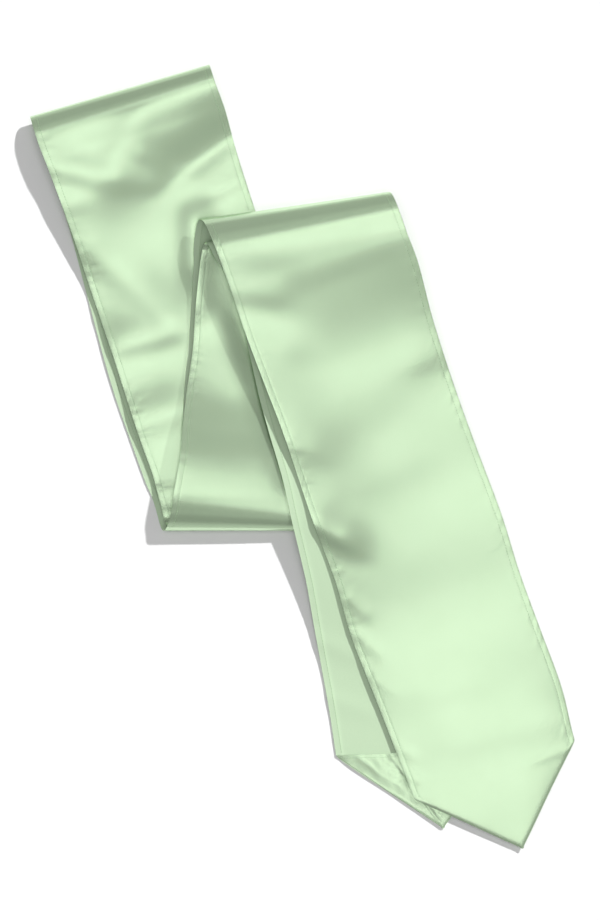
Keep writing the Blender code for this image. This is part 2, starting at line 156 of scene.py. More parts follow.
loopTop = dict(
    node="loop_stretch_top", slot="satin_face", satin="up",
    sections=(
        (-116, -40, 39.5, -46, 3.7, 3.7, 3.7),
        (-122, -16, 28, 3, 3.7, 3.7, 3.7),
        (-133, 15, 9, 63, 3.7, 3.8, 3.7),
        (-160, 98, -20, 145, 3.7, 3.9, 3.7),
        (-174, 139, -33, 186, 3.9, 4.2, 3.8),
        (-186, 176, -45, 223, 6.8, 5.6, 4.2),
        (-197, 207, -55, 255, 10.6, 8.3, 6.2),
        (-209, 239, -64, 288, 12.6, 11.7, 10.4),
        (-218, 263, -72, 310, 13.4, 13.6, 13.2),
    ),
    foldAfter=dict(name="middleFold", line=(-224.5, 279.5, -77, 322.5, 8.8, 8.8, 8.8)),
    creases=(
        (-140, 266, -158, 236, 20, 16, 1.2),
        (-100, 236, -66, 262, 20, 14, -2.3),
        (-72, 218, -50, 228, 10, 9, 0.5),
        (-128, 248, -104, 235, 8, 7, 0.35),
        (-146, 229, -124, 228, 14, 11, 0.9),
        (-203, 240, -186, 236, 15, 11, 1.1),
        (-197, 211, -188, 210, 8, 8, 0.3),
        (-170, 169, -108, 117, 20, 14, 1.0),
        (-142, 96, -120, 101, 18, 12, 1.2),
        (-142, 29, -112, 39, 22, 16, 1.6),
        (-88, 190, -88, 162, 16, 12, -1.8),
    ),
)

loopUnder = dict(
    node="loop_stretch_under", slot="matt_back", satin="down",
    sections=(
        (-220.5, 270.5, -74.5, 315.5, 3.2, 3.2, 3.2),
        (-214, 254, -69, 299, 1.8, 1.8, 1.8),
        (-207, 235, -62, 279, 0.6, 0.6, 0.6),
        (-192, 191, -50, 234, 0.0, 0.0, 0.0),
        (-178, 139, -35, 182, 0.0, 0.0, 0.0),
        (-153, 49, -9, 92, 0.0, 0.0, 0.0),
        (-141, 15, 5, 52, 0.0, 0.0, 0.0),
        (-130, -16, 19, 11, 0.0, 0.0, 0.0),
        (-119, -46, 38.5, -51, 0.0, 0.0, 0.0),
    ),
    creases=(
        (-190, 225, -120, 232, 12, 16, 1.0),
        (-160, 120, -90, 150, 14, 9, 0.9),
        (-120, 40, -60, 30, 10, 13, 0.8),
    ),
)

topMiddle = dict(
    node="top_middle_stretch", slot="satin_face", satin="up",
    sections=(
        (-107, -41, 43, -52, 18.4, 14.2, 10.2),
        (-106, -32, 45, -38, 19.9, 15.1, 10.4),
        (-103, -15, 48, -21, 20.0, 15.0, 9.9),
        (-100, 3, 51, -6, 18.9, 14.0, 9.0),
        (-98, 28, 54, 15, 15.4, 11.4, 7.4),
        (-95, 54, 56, 38, 11.8, 9.0, 6.0),
        (-90, 90, 59, 72, 9.3, 8.3, 4.8),
        (-88, 119, 63, 101, 9.0, 8.2, 4.8),
        (-85, 150, 66, 150, 10.4, 9.6, 7.6),
        (-82.5, 168, 68.5, 187, 12.0, 11.0, 9.4),
    ),
    foldBefore=dict(name="outerFoldTwo", line=(-114, -59, 41, -59, 7.0, 5.8, 4.7)),
    creases=(
        (-50, 112, -8, -5, 18, 13, -2.6),
        (-84, 184, -88, 130, 14, 10, 2.2),
    ),
)

backEnd = dict(
    node="back_end_stretch", slot="matt_back", satin="down",
    sections=(
        (-73, 167, 79, 191, 20.8, 18.6, 15.0),
        (-60, 147, 86, 175, 19.0, 16.0, 10.5),
        (-53, 125, 91, 161, 16.5, 13.5, 7.0),
        (-43, 84, 100, 123, 12.6, 9.5, 3.2),
        (-35, 49, 109, 87, 13.2, 9.2, 1.4),
        (-27, 20, 117, 56, 14.0, 9.8, 0.8),
        (-16, -18, 128, 17, 14.8, 10.2, 0.5),
        (-9, -50, 136, -17, 13.2, 8.4, 0.3),
        (-3, -75, 143, -44, 10.4, 6.4, 0.2),
        (3, -101, 149, -72, 7.4, 4.2, 0.1),
        (9, -135, 155, -108, 3.6, 1.8, 0.0),
        (15, -168, 162, -143, 1.1, 0.5, 0.0),
        (22, -207, 169, -181, 0.2, 0.0, 0.0),
        (27.5, -243, 175.5, -217, 0.0, 0.0, 0.0),
    ),
    beyond=(40.3, -316.2, 188.3, -290.2, 0.0, 0.0, 0.0), tipShare=0.508,
    foldBefore=dict(name="innerFoldOne", line=(-80.5, 176.5, 70, 197, 16.2, 14.6, 12.2)),
    creases=(
        (16, -150, 44, -162, 8, 8, 0.5),
        (22, -196, 50, -206, 7, 9, 0.4),
    ),
)

stretches = (frontStretch, underMiddle, loopTop, loopUnder, topMiddle, backEnd)
fromBottom = (loopUnder, loopTop, underMiddle, topMiddle, backEnd, frontStretch)
middleShift = (-0.2, -0.8, 0.0)    # the outline's middle is the origin


def foldBetween(before, after):
    return before.get("foldAfter") or after["foldBefore"]


def sectionPoints(section):
    leftX, leftY, rightX, rightY, leftZ, midZ, rightZ = section
    plan = np.array((leftX, leftY)) + share[:, None] * np.array((rightX - leftX, rightY - leftY))
    slope = 4.0 * midZ - 3.0 * leftZ - rightZ
    curve = 2.0 * (leftZ + rightZ - 2.0 * midZ)
    return np.column_stack((plan, leftZ + slope * share + curve * share ** 2))


def rollPoints(before, apex, after, steps=7):
    # half an ellipse round the fold, drifting along the fold line
    line = apex[-1, :2] - apex[0, :2]
    line = np.append(line / np.linalg.norm(line), 0.0)
    middle = 0.5 * (before + after)
    half = 0.5 * (before - after)
    reach = apex - middle
    for vector in (half, reach):
        vector -= np.outer(vector @ line, line)
    drift = (after - before) @ line
    rows = []
    for step in range(1, steps + 1):
        turn = math.pi * step / (steps + 1)
        row = middle + math.cos(turn) * half + math.sin(turn) * reach
        rows.append(row + np.outer(drift * (turn / math.pi - 0.5), line))
    return rows


def throughSections(sections, knots, places):
    # a smooth surface through the sections, read at places along the strip
    first, last = 2.0 * sections[0] - sections[1], 2.0 * sections[-1] - sections[-2]
    points = np.concatenate(([first], sections, [last]))
    ends = 2.0 * knots[0] - knots[1], 2.0 * knots[-1] - knots[-2]
    times = np.concatenate(([ends[0]], knots, [ends[1]]))
    found = np.clip(np.searchsorted(knots, places, side="right"), 1, len(knots) - 1)
    p0, p1, p2, p3 = (points[found + shift] for shift in (-1, 0, 1, 2))
    t0, t1, t2, t3 = (times[found + shift][:, None, None] for shift in (-1, 0, 1, 2))
    t = np.asarray(places)[:, None, None]
    a1 = ((t1 - t) * p0 + (t - t0) * p1) / (t1 - t0)
    a2 = ((t2 - t) * p1 + (t - t1) * p2) / (t2 - t1)
    a3 = ((t3 - t) * p2 + (t - t2) * p3) / (t3 - t2)
    b1 = ((t2 - t) * a1 + (t - t0) * a2) / (t2 - t0)
    b2 = ((t3 - t) * a2 + (t - t1) * a3) / (t3 - t1)
    return ((t2 - t) * b1 + (t - t1) * b2) / (t2 - t1)


def rowPlaces(sections, knots, start, end):
    # even rows on flat cloth, closer together round a roll
    fine = np.linspace(start, end, max(16, int((end - start) / strip["fineStep"])))
    lines = throughSections(sections, knots, fine)[:, [0, len(across) // 2, -1]]
    step = np.diff(lines, axis=0)
    length = np.linalg.norm(step, axis=2)
    heading = step / length[..., None]
    turn = np.degrees(np.arccos(np.clip((heading[1:] * heading[:-1]).sum(axis=2), -1.0, 1.0)))
    cost = length.mean(axis=1) / strip["rowStep"]
    cost[1:] += turn.max(axis=1) / strip["rowTurn"]
    total = np.concatenate(([0.0], np.cumsum(cost)))
    count = max(4, math.ceil(total[-1]))
    return np.interp(np.linspace(0.0, total[-1], count + 1), total, fine)


creaseEnd = 0.75         # a crease fades out past its ends over this share of its whole width


def addCreases(rows, creases):
    # each crease may be steep on one side and easy on the other
    for x1, y1, x2, y2, leftWidth, rightWidth, rise in creases:
        crest = np.array((x2 - x1, y2 - y1), dtype=float)
        length = np.linalg.norm(crest)
        offset = rows[..., :2] - (x1, y1)
        run = offset @ crest / length ** 2
        beside = (offset[..., 0] * crest[1] - offset[..., 1] * crest[0]) / length
        width = np.where(beside < 0.0, leftWidth, rightWidth)
        past = np.clip(np.maximum(-run, run - 1.0), 0.0, None) * length
        past /= creaseEnd * (leftWidth + rightWidth)
        rows[..., 2] += rise * np.exp(-(beside / width) ** 2 - past ** 2)


def halved(rows):
    # one more row between every two
    both = np.empty((2 * len(rows) - 1,) + rows.shape[1:])
    both[::2] = rows
    both[1::2] = 0.5 * (rows[1:] + rows[:-1])
    return both


class TableTop:
    # the height of all that is laid so far, on a square grid of this cell and half size in mm
    def __init__(self, cell=1.0, half=(246.0, 345.0)):
        self.cell = cell
        self.low = -np.array(half)
        self.height = np.zeros((2.0 * np.array(half) / cell).astype(int) + 1)

    def cells(self, points):
        place = np.round((points[..., :2] - self.low) / self.cell).astype(int)
        return np.clip(place, 0, np.array(self.height.shape) - 1)

    def lay(self, rows):
        # twice as many rows and four times as many columns, so that no cell is missed
        fine = halved(halved(halved(rows).swapaxes(0, 1)))
        cell = self.cells(fine)
        np.maximum.at(self.height, (cell[..., 0], cell[..., 1]), fine[..., 2])

    def under(self, points):
        cell = self.cells(points)
        near = np.zeros(cell.shape[:-1])
        for shiftX in (-1, 0, 1):
            for shiftY in (-1, 0, 1):
                x = np.clip(cell[..., 0] + shiftX, 0, self.height.shape[0] - 1)
                y = np.clip(cell[..., 1] + shiftY, 0, self.height.shape[1] - 1)
                near = np.maximum(near, self.height[x, y])
        return near


def neighbourMean(values):
    wide = np.pad(values, 1, mode="edge")
    return (wide[:-2, 1:-1] + wide[2:, 1:-1] + wide[1:-1, :-2] + wide[1:-1, 2:]) / 4.0


easing = dict(spread=60, smooth=24)    # rounds of averaging, the more the wider the slope


def liftOnto(rows, table, below):
    # the cloth rises to lie on what is under it, eased out round the places that touch
    under = table.under(rows)
    air = np.where(under > 0.0, strip["air"], 0.0)
    lift = np.maximum(under + air + below - rows[..., 2], 0.0)
    for _ in range(easing["spread"]):
        lift = np.maximum(lift, neighbourMean(lift))
    for _ in range(easing["smooth"]):
        lift = neighbourMean(lift)
    rows[..., 2] += lift
    return float(lift.max())


def raised(rows, height):
    higher = rows.copy()
    higher[..., 2] += height
    return higher


def surfaceNormals(rows):
    normal = np.cross(np.gradient(rows, axis=1), np.gradient(rows, axis=0))
    return normal / np.maximum(np.linalg.norm(normal, axis=2), 1e-9)[..., None]


hemForm = dict(
    starts=0.86, eases=0.12, whole=0.98,    # shares of the width: the point has no stitched hem
    groove=0.035,        # the thread pulls the cloth in by this much
    grooveWidth=0.7,
    edgeRound=0.08,      # the turned edge rounds off by this much
    edgeWidth=0.45,
    pointRound=0.7,      # and the edges of the point, seamed and turned out
    pointWidth=1.6,
    pucker=0.05,         # the small waves beside the stitching
    puckerReach=7.0,     # how far in they run
    puckerFall=1.3,
    puckerLength=(5.0, 15.0),
    puckerSeeds=(11, 61),       # left hem, right hem
    patchSeed=101,       # they come and go along the hem
    patchLength=(60.0, 160.0),
    patchWaves=4, patchMean=0.55, patchSwing=0.45,
    patchRange=(0.1, 1.3),
)


def hemRelief(along, width):
    # height of the hem's own form above the plain satin face
    fade = np.clip((width - hemForm["starts"]) / hemForm["eases"], 0.0, 1.0)
    run = along[:, None]
    left = across[None, :] < strip["width"] / 2.0
    edge = fromEdge[None, :]
    groove = -hemForm["groove"] * np.exp(-((edge - strip["stitchLine"]) / hemForm["grooveWidth"]) ** 2)
    turned = -hemForm["edgeRound"] * np.exp(-edge / hemForm["edgeWidth"])
    point = -hemForm["pointRound"] * np.exp(-edge * width[:, None] / hemForm["pointWidth"])
    point *= 1.0 - fade[:, None]
    inside = np.maximum(edge - strip["stitchLine"], 0.0) / hemForm["puckerReach"]
    leftSeed, rightSeed = hemForm["puckerSeeds"]
    puckers = np.where(
        left,
        waves(run, 2.0 * edge, leftSeed, hemForm["puckerLength"]),
        waves(run, 2.0 * edge, rightSeed, hemForm["puckerLength"]))
    patches = waves(run, 0.0 * edge, hemForm["patchSeed"], hemForm["patchLength"], hemForm["patchWaves"])
    patches = hemForm["patchMean"] + hemForm["patchSwing"] * patches
    inward = np.exp(-inside ** hemForm["puckerFall"])
    puckers *= hemForm["pucker"] * inward * np.clip(patches, *hemForm["patchRange"])
    return (groove + puckers + turned) * fade[:, None] + point


# The strip's path as one surface, cut into rows
def makeRows():
    sections = [sectionPoints(frontStretch["beyond"])]
    spans = {}
    for index, stretch in enumerate(stretches):
        points = [sectionPoints(section) for section in stretch["sections"]]
        spans[stretch["node"]] = (len(sections), len(sections) + len(points) - 1)
        sections.extend(points)
        if stretch is not backEnd:
            following = stretches[index + 1]
            line = sectionPoints(foldBetween(stretch, following)["line"])
            sections.extend(rollPoints(points[-1], line, sectionPoints(following["sections"][0])))
    sections.append(sectionPoints(backEnd["beyond"]))
    sections = np.array(sections)
    steps = np.linalg.norm(np.diff(sections, axis=0), axis=2).mean(axis=1)
    knots = np.concatenate(([0.0], np.cumsum(steps)))
    rows, along = {}, {}

    def cut(name, first, last):
        places = rowPlaces(sections, knots, knots[first], knots[last])
        rows[name] = throughSections(sections, knots, places)
        along[name] = places

    cut("frontPoint", 0, 1)
    cut("backPoint", len(sections) - 2, len(sections) - 1)
    for index, stretch in enumerate(stretches):
        first, last = spans[stretch["node"]]
        cut(stretch["node"], first, last)
        if stretch is not backEnd:
            following = stretches[index + 1]
            cut(foldBetween(stretch, following)["name"], last, spans[following["node"]][0])
    return rows, along


def acrossRow(row, shares):
    return np.column_stack([np.interp(shares, share, row[:, axis]) for axis in range(3)])


pointForm = dict(cornerRounding=0.035, tipWidth=0.012)    # shares of its length and width


def cutPoint(full, stretch, tipFirst):
    # the strip's end cut to a point, with its two corners a little rounded
    rounding = pointForm["cornerRounding"]
    narrowed, shares = [], []
    for index, row in enumerate(full[::-1] if tipFirst else full):
        reach = index / (len(full) - 1)
        cut = min(reach ** 2 / (reach + rounding) * (1.0 + rounding), 1.0 - pointForm["tipWidth"])
        left = stretch["tipShare"] * cut
        right = 1.0 - (1.0 - stretch["tipShare"]) * cut
        shares.append(left + share * (right - left))
        narrowed.append(acrossRow(row, shares[-1]))
    narrowed, shares = np.array(narrowed), np.array(shares)
    return (narrowed[::-1], shares[::-1]) if tipFirst else (narrowed, shares)


swell = dict(height=0.3, seed=5, length=(55.0, 150.0))    # the slow unevenness of loose cloth


def drape(rows, stretch):
    addCreases(rows, stretch["creases"])
    rows[..., 2] += swell["height"] * waves(rows[..., 0], rows[..., 1], swell["seed"], swell["length"])
    rows[..., 2] = np.maximum(rows[..., 2], 0.0)


def pointPart(values, point):
    # the pointed end's rows, from its corners to its tip
    count = point["count"] + 1
    return values[:count][::-1] if point["tipFirst"] else values[-count:]


# The facing sewn behind each point: its base edge runs in to the seam and out again
facings = dict(
    front_point_facing=dict(stretch=frontStretch, seamTop=(0.47, 0.05), billow=0.0),
    back_point_facing=dict(stretch=backEnd, seamTop=(0.295, 0.09), billow=0.7),
)
facingShape = dict(
    height=76.0,         # of the flat triangle
    columns=64, rows=40,
    ends=0.985,          # share of the way to the tip
    gap=0.12, room=0.9,  # between it and the point, and what it takes up under the front point
    edgeEase=14.0, edgeCurve=0.7,        # it flattens out towards its edges
    dip=0.6, dipWidth=9.0,               # the billow is lower beside the seam
    seamDepth=0.4, seamWidth=1.6,
    pucker=0.11, puckerReach=8.0, puckerLength=(5.0, 9.0), puckerSlant=0.8, puckerSeed=31,
    crumple=0.12, crumpleLength=(9.0, 30.0), crumpleSeed=47,
)


def facingRows(surface, shares, facing):
    # rows from the base edge to the tip, on the point's own surface, and how far off it they lie
    columns = np.arange(facingShape["columns"] + 1)
    seamShare, seamReach = facing["seamTop"]
    seamColumn = round(seamShare * facingShape["columns"])
    stops = [0, seamColumn, facingShape["columns"]]
    baseShare = np.interp(columns, stops, [0.0, seamShare, 1.0])
    baseReach = np.interp(columns, stops, [0.0, seamReach, 0.0])
    tip = facing["stretch"]["tipShare"]
    rows = []
    for down in np.linspace(0.0, facingShape["ends"], facingShape["rows"] + 1):
        places = baseShare + down * (tip - baseShare)
        reaches = (baseReach + down * (1.0 - baseReach)) * (len(surface) - 1)
        row = []
        for place, reach in zip(places, reaches):
            low = min(int(reach), len(surface) - 2)
            near, far = ([np.interp(place, shares[k], surface[k][:, axis]) for axis in range(3)]
                         for k in (low, low + 1))
            row.append((low + 1 - reach) * np.array(near) + (reach - low) * np.array(far))
        rows.append(row)
    rows = np.array(rows)
    seam = rows[:, seamColumn]
    beside = np.linalg.norm(rows[..., :2] - seam[:, None, :2], axis=2)
    downSeam = np.linalg.norm(rows[..., :2] - seam[0, :2], axis=2)
    edge = np.minimum(np.linalg.norm(rows[..., :2] - rows[:, :1, :2], axis=2),
                      np.linalg.norm(rows[..., :2] - rows[:, -1:, :2], axis=2))
    inner = np.clip(edge / facingShape["edgeEase"], 0.0, 1.0) ** facingShape["edgeCurve"]
    dip = facingShape["dip"] * np.exp(-(beside / facingShape["dipWidth"]) ** 2)
    relief = facing["billow"] * (1.0 - dip)
    relief -= facingShape["seamDepth"] * np.exp(-(beside / facingShape["seamWidth"]) ** 2)
    ripple = waves(downSeam, facingShape["puckerSlant"] * beside, facingShape["puckerSeed"],
                   facingShape["puckerLength"])
    relief += facingShape["pucker"] * ripple * np.exp(-(beside / facingShape["puckerReach"]) ** 2)
    relief += facingShape["crumple"] * waves(rows[..., 0], rows[..., 1], facingShape["crumpleSeed"],
                                             facingShape["crumpleLength"])
    # its height off the point's surface: its relief, both walls and a little air
    return rows, np.maximum(relief * inner, 0.0) + 2.0 * strip["wall"] + facingShape["gap"]


def cutPoints(rows, along, spread):
    # both ends are cut to a point and joined to their stretches
    points = {}
    for key, stretch, tipFirst in (("frontPoint", frontStretch, True), ("backPoint", backEnd, False)):
        name, full, fullAlong = stretch["node"], rows.pop(key), along.pop(key)
        drape(full, stretch)
        narrowed, shares = cutPoint(full, stretch, tipFirst)
        points[name] = dict(count=len(full) - 1, tipFirst=tipFirst)
        if tipFirst:
            joined = ((narrowed, rows[name][1:]), (fullAlong, along[name][1:]), (shares, spread[name][1:]))
        else:
            joined = ((rows[name][:-1], narrowed), (along[name][:-1], fullAlong),
                      (spread[name][:-1], shares))
        rows[name], along[name], spread[name] = (np.concatenate(pair) for pair in joined)
    return points


def layFolds(rows, table, laid):
    # a fold is laid as soon as the stretches at both its ends are
    for before, after in zip(stretches[:-1], stretches[1:]):
        fold = foldBetween(before, after)["name"]
        nameBefore, nameAfter = before["node"], after["node"]
        if fold in laid or not {nameBefore, nameAfter} <= laid:
            continue
        blend = np.linspace(0.0, 1.0, len(rows[fold]))[:, None]
        first = rows[nameBefore][-1, :, 2] - rows[fold][0, :, 2]
        last = rows[nameAfter][0, :, 2] - rows[fold][-1, :, 2]
        rows[fold][..., 2] += first * (1.0 - blend) + last * blend
        table.lay(raised(rows[fold], walls if fold.startswith("inner") else 0.0))
        laid.add(fold)


def laySash():
    rows, along = makeRows()
    spread = {}
    for stretch in stretches:
        name = stretch["node"]
        drape(rows[name], stretch)
        spread[name] = np.repeat(share[None, :], len(rows[name]), axis=0)
    points = cutPoints(rows, along, spread)
    table, laid = TableTop(), set()
    for stretch in fromBottom:
        name = stretch["node"]
        up = stretch["satin"] == "up"
        below = np.repeat(walls[None, :] if up else 0.0 * walls[None, :], len(rows[name]), axis=0)
        if stretch is frontStretch:
            below[:points[name]["count"]] += facingShape["room"]
        most = liftOnto(rows[name], table, below)
        print(name, "is laid, lifted by up to", round(most, 1), "mm")
        table.lay(raised(rows[name], 0.0 if up else walls))
        laid.add(name)
        if stretch is backEnd:
            behind, height = facingRows(pointPart(rows[name], points[name]),
                                        pointPart(spread[name], points[name]),
                                        facings["back_point_facing"])
            table.lay(raised(behind, height))
        layFolds(rows, table, laid)
    return rows, along, points, spread


def joinStrips(rows, along, spread):
    # each stretch with the rolls that belong to it
    strips = {}
    for stretch in stretches:
        name = stretch["node"]
        parts = [name]
        if "foldAfter" in stretch:
            parts.append(stretch["foldAfter"]["name"])
        if "foldBefore" in stretch:
            parts.insert(0, stretch["foldBefore"]["name"])
        run, runAlong = rows[parts[0]], along[parts[0]]
        for part in parts[1:]:
            run = np.concatenate((run, rows[part][1:]))
            runAlong = np.concatenate((runAlong, along[part][1:]))
        shares = np.repeat(share[None, :], len(run), axis=0)
        if stretch is frontStretch:
            shares[:len(spread[name])] = spread[name]
        if stretch is backEnd:
            shares[-len(spread[name]):] = spread[name]
        strips[name] = dict(rows=run, along=runAlong, shares=shares)
    return strips


def formHems(pieces):
    # the hems' own form runs on over the whole strip, so that the stretches meet at the folds
    whole, along = (np.concatenate([piece[key] for piece in pieces]) for key in ("rows", "along"))
    width = np.concatenate([np.ptp(piece["shares"], axis=1) for piece in pieces])
    normals = surfaceNormals(whole)
    whole += normals * hemRelief(along, width)[..., None] + middleShift
    start = 0
    for piece in pieces:
        end = start + len(piece["rows"])
        piece["rows"], piece["normals"] = whole[start:end].copy(), normals[start:end]
        piece["hem"] = width[start:end] > hemForm["whole"]
        start = end
    for before, after in zip(pieces[:-1], pieces[1:]):
        before["rows"][-1] = after["rows"][0]
    return float(along[-1] - along[0])


print("laying the strip")
rows, along, points, spread = laySash()
strips = joinStrips(rows, along, spread)
stripLength = formHems([strips[stretch["node"]] for stretch in stretches])
print("the strip is", round(stripLength), "mm from tip to tip")


# Materials
def toLinear(hexColour):
    channels = [int(hexColour[place:place + 2], 16) / 255.0 for place in (1, 3, 5)]
    linear = [c / 12.92 if c <= 0.04045 else ((c + 0.055) / 1.055) ** 2.4 for c in channels]
    return (*linear, 1.0)


def addNode(tree, kind, settings=None, links=None):
    node = tree.nodes.new(kind)
    for name, value in (settings or {}).items():
        if isinstance(name, int) or name in node.inputs:
            node.inputs[name].default_value = value
        else:
            setattr(node, name, value)
    for name, source in (links or {}).items():
        tree.links.new(source, node.inputs[name])
    return node


def newMaterial(name):
    material = bpy.data.materials.new(name)
    material.use_nodes = True
    tree = material.node_tree
    tree.nodes.clear()
    return material, tree


satinLook = dict(
    deep="#CDE8C2", light="#D4EEC9",   # mint, two close shades
    metallic=0.8,        # satin mirrors the light in its own colour, as a metal would
    roughness=0.25,      # long floats of bright filament
    anisotropic=0.5,     # the sheen spreads across the floats
    floatLength=1.3,     # mm, real floats are under 1 mm: drawn coarser so that the grain shows
    floatWidth=1.0,
    grain=0.042,         # mm of bump
    cloudSize=40.0,      # mm, the two shades drift into each other over this
)


def makeSatin():
    # Polyester satin, woven with long floats: bright where it faces the light, dark where it turns
    material, tree = newMaterial("wovenSatinFace")
    uv = addNode(tree, "ShaderNodeUVMap", dict(uv_map="cut"))
    tangent = addNode(tree, "ShaderNodeTangent", dict(direction_type="UV_MAP", uv_map="cut"))
    stretched = addNode(tree, "ShaderNodeMapping", dict(
        Scale=(1000.0 / satinLook["floatWidth"], 1000.0 / satinLook["floatLength"], 1.0)),
        dict(Vector=uv.outputs["UV"]))
    grain = addNode(tree, "ShaderNodeTexNoise", dict(Scale=1.0, Detail=3.0, Roughness=0.6),
                    dict(Vector=stretched.outputs["Vector"]))
    cloud = addNode(tree, "ShaderNodeMapping", dict(
        Scale=(1000.0 / satinLook["cloudSize"], 1000.0 / satinLook["cloudSize"], 1.0)),
        dict(Vector=uv.outputs["UV"]))
    shade = addNode(tree, "ShaderNodeTexNoise", dict(Scale=1.0, Detail=2.0),
                    dict(Vector=cloud.outputs["Vector"]))
    colour = addNode(tree, "ShaderNodeMix", {
        "data_type": "RGBA", 6: toLinear(satinLook["deep"]), 7: toLinear(satinLook["light"]),
    }, dict(Factor=shade.outputs["Fac"]))
    bump = addNode(tree, "ShaderNodeBump", dict(Strength=1.0, Distance=satinLook["grain"] * millimetre),
                   dict(Height=grain.outputs["Fac"]))
    shader = addNode(tree, "ShaderNodeBsdfPrincipled", {
        "Metallic": satinLook["metallic"], "Roughness": satinLook["roughness"],
        "Anisotropic": satinLook["anisotropic"], "IOR": 1.5,
    }, {"Base Color": colour.outputs[2], "Normal": bump.outputs["Normal"],
        "Tangent": tangent.outputs["Tangent"]})
    addNode(tree, "ShaderNodeOutputMaterial", None, dict(Surface=shader.outputs["BSDF"]))
    return material


backLook = dict(
    deep="#B4CBAB", light="#BCD3B2",
    metallic=0.08,       # a trace of the filament's own sheen
    roughness=0.62,
    ribLength=1.1,       # mm, drawn coarser than the real weave so that it shows
    grain=0.03,          # mm of bump
)


def makeBack():
    # The wrong side of the satin: short floats on a plain ground, so dull and even
    material, tree = newMaterial("wovenSatinBack")
    uv = addNode(tree, "ShaderNodeUVMap", dict(uv_map="cut"))
    place = addNode(tree, "ShaderNodeMapping", dict(
        Scale=(1000.0 / backLook["ribLength"], 1000.0 / backLook["ribLength"], 1.0)),
        dict(Vector=uv.outputs["UV"]))
    grain = addNode(tree, "ShaderNodeTexNoise", dict(Scale=1.0, Detail=2.0),
                    dict(Vector=place.outputs["Vector"]))
    colour = addNode(tree, "ShaderNodeMix", {
        "data_type": "RGBA", 6: toLinear(backLook["deep"]), 7: toLinear(backLook["light"]),
    }, dict(Factor=grain.outputs["Fac"]))
    bump = addNode(tree, "ShaderNodeBump", dict(Strength=1.0, Distance=backLook["grain"] * millimetre),
                   dict(Height=grain.outputs["Fac"]))
    shader = addNode(tree, "ShaderNodeBsdfPrincipled", {
        "Metallic": backLook["metallic"], "Roughness": backLook["roughness"], "IOR": 1.5,
    }, {"Base Color": colour.outputs[2], "Normal": bump.outputs["Normal"]})
    addNode(tree, "ShaderNodeOutputMaterial", None, dict(Surface=shader.outputs["BSDF"]))
    return material


threadLook = dict(colour="#93B489", roughness=0.5)


def makeThread():
    # Spun polyester sewing thread: a shade deeper than the cloth, with a dull shine
    material, tree = newMaterial("spunThread")
    shader = addNode(tree, "ShaderNodeBsdfPrincipled", {
        "Base Color": toLinear(threadLook["colour"]), "Roughness": threadLook["roughness"], "IOR": 1.5})
    addNode(tree, "ShaderNodeOutputMaterial", None, dict(Surface=shader.outputs["BSDF"]))
    return material


satin, satinBack, thread = makeSatin(), makeBack(), makeThread()
print("the satin, its wrong side and the thread are ready")
rideOn = "root"      # the sash has no joints, so every piece rides on the one body


# Cloth shells
def gridMesh(name, points, u, v):
    # a grid of points, u across and v along in metres
    countAlong, countAcross = points.shape[0] - 1, points.shape[1] - 1
    mesh = bpy.data.meshes.new(name)
    grid = bmesh.new()
    bmesh.ops.create_grid(grid, x_segments=countAcross, y_segments=countAlong, size=0.5)
    grid.to_mesh(mesh)
    grid.free()
    flat = np.empty(len(mesh.vertices) * 3, dtype=np.float32)
    mesh.vertices.foreach_get("co", flat)
    flat = flat.reshape(-1, 3)
    column = np.round((flat[:, 0] + 0.5) * countAcross).astype(int)
    row = np.round((flat[:, 1] + 0.5) * countAlong).astype(int)
    mesh.vertices.foreach_set("co", (points[row, column] * millimetre).astype(np.float32).ravel())
    corners = np.empty(len(mesh.loops), dtype=np.int32)
    mesh.loops.foreach_get("vertex_index", corners)
    layer = mesh.uv_layers.new(name="cut")
    places = np.column_stack((u[row, column], v[row, column])).astype(np.float32)
    layer.data.foreach_set("uv", places[corners].ravel())
    mesh.update()
    return mesh, row, column


def addPiece(piece, replaced=None):
    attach(piece, rideOn)
    if replaced:
        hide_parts(replaced)


def clothShell(name, points, u, v, thick):
    # the satin face with a wall behind it, thicker where thick is 1; the back gets its own cloth
    mesh, row, column = gridMesh(name, points, u, v)
    shell = bpy.data.objects.new(name, mesh)
    bpy.context.scene.collection.objects.link(shell)
    group = shell.vertex_groups.new(name="hem")
    weights = thick[row, column]
    for weight in np.unique(weights[weights > 0.0]):
        group.add(np.nonzero(weights == weight)[0].tolist(), float(weight), "REPLACE")
    solid = shell.modifiers.new("wall", "SOLIDIFY")
    solid.thickness = strip["hemWall"] * millimetre
    solid.offset = -1.0
    solid.vertex_group = group.name
    solid.thickness_vertex_group = strip["wall"] / strip["hemWall"]
    solid.material_offset = 1
    mesh.materials.append(satin)
    mesh.materials.append(satinBack)
    bpy.context.view_layer.update()
    ready = bpy.data.meshes.new_from_object(shell.evaluated_get(bpy.context.evaluated_depsgraph_get()))
    shell.modifiers.clear()
    shell.data = ready
    ready.name = name
    ready.shade_smooth()
    ready.set_sharp_from_angle(angle=math.radians(strip["sharpAngle"]))
    return shell


for stretch in stretches:
    name = stretch["node"]
    piece = strips[name]
    u = piece["shares"] * strip["width"] * millimetre
    v = np.repeat(piece["along"][:, None], len(across), axis=1) * millimetre
    thick = hemWeight[None, :] * piece["hem"][:, None]
    shell = clothShell(name + "_cloth", piece["rows"], u, v, thick)
    addPiece(shell, name)

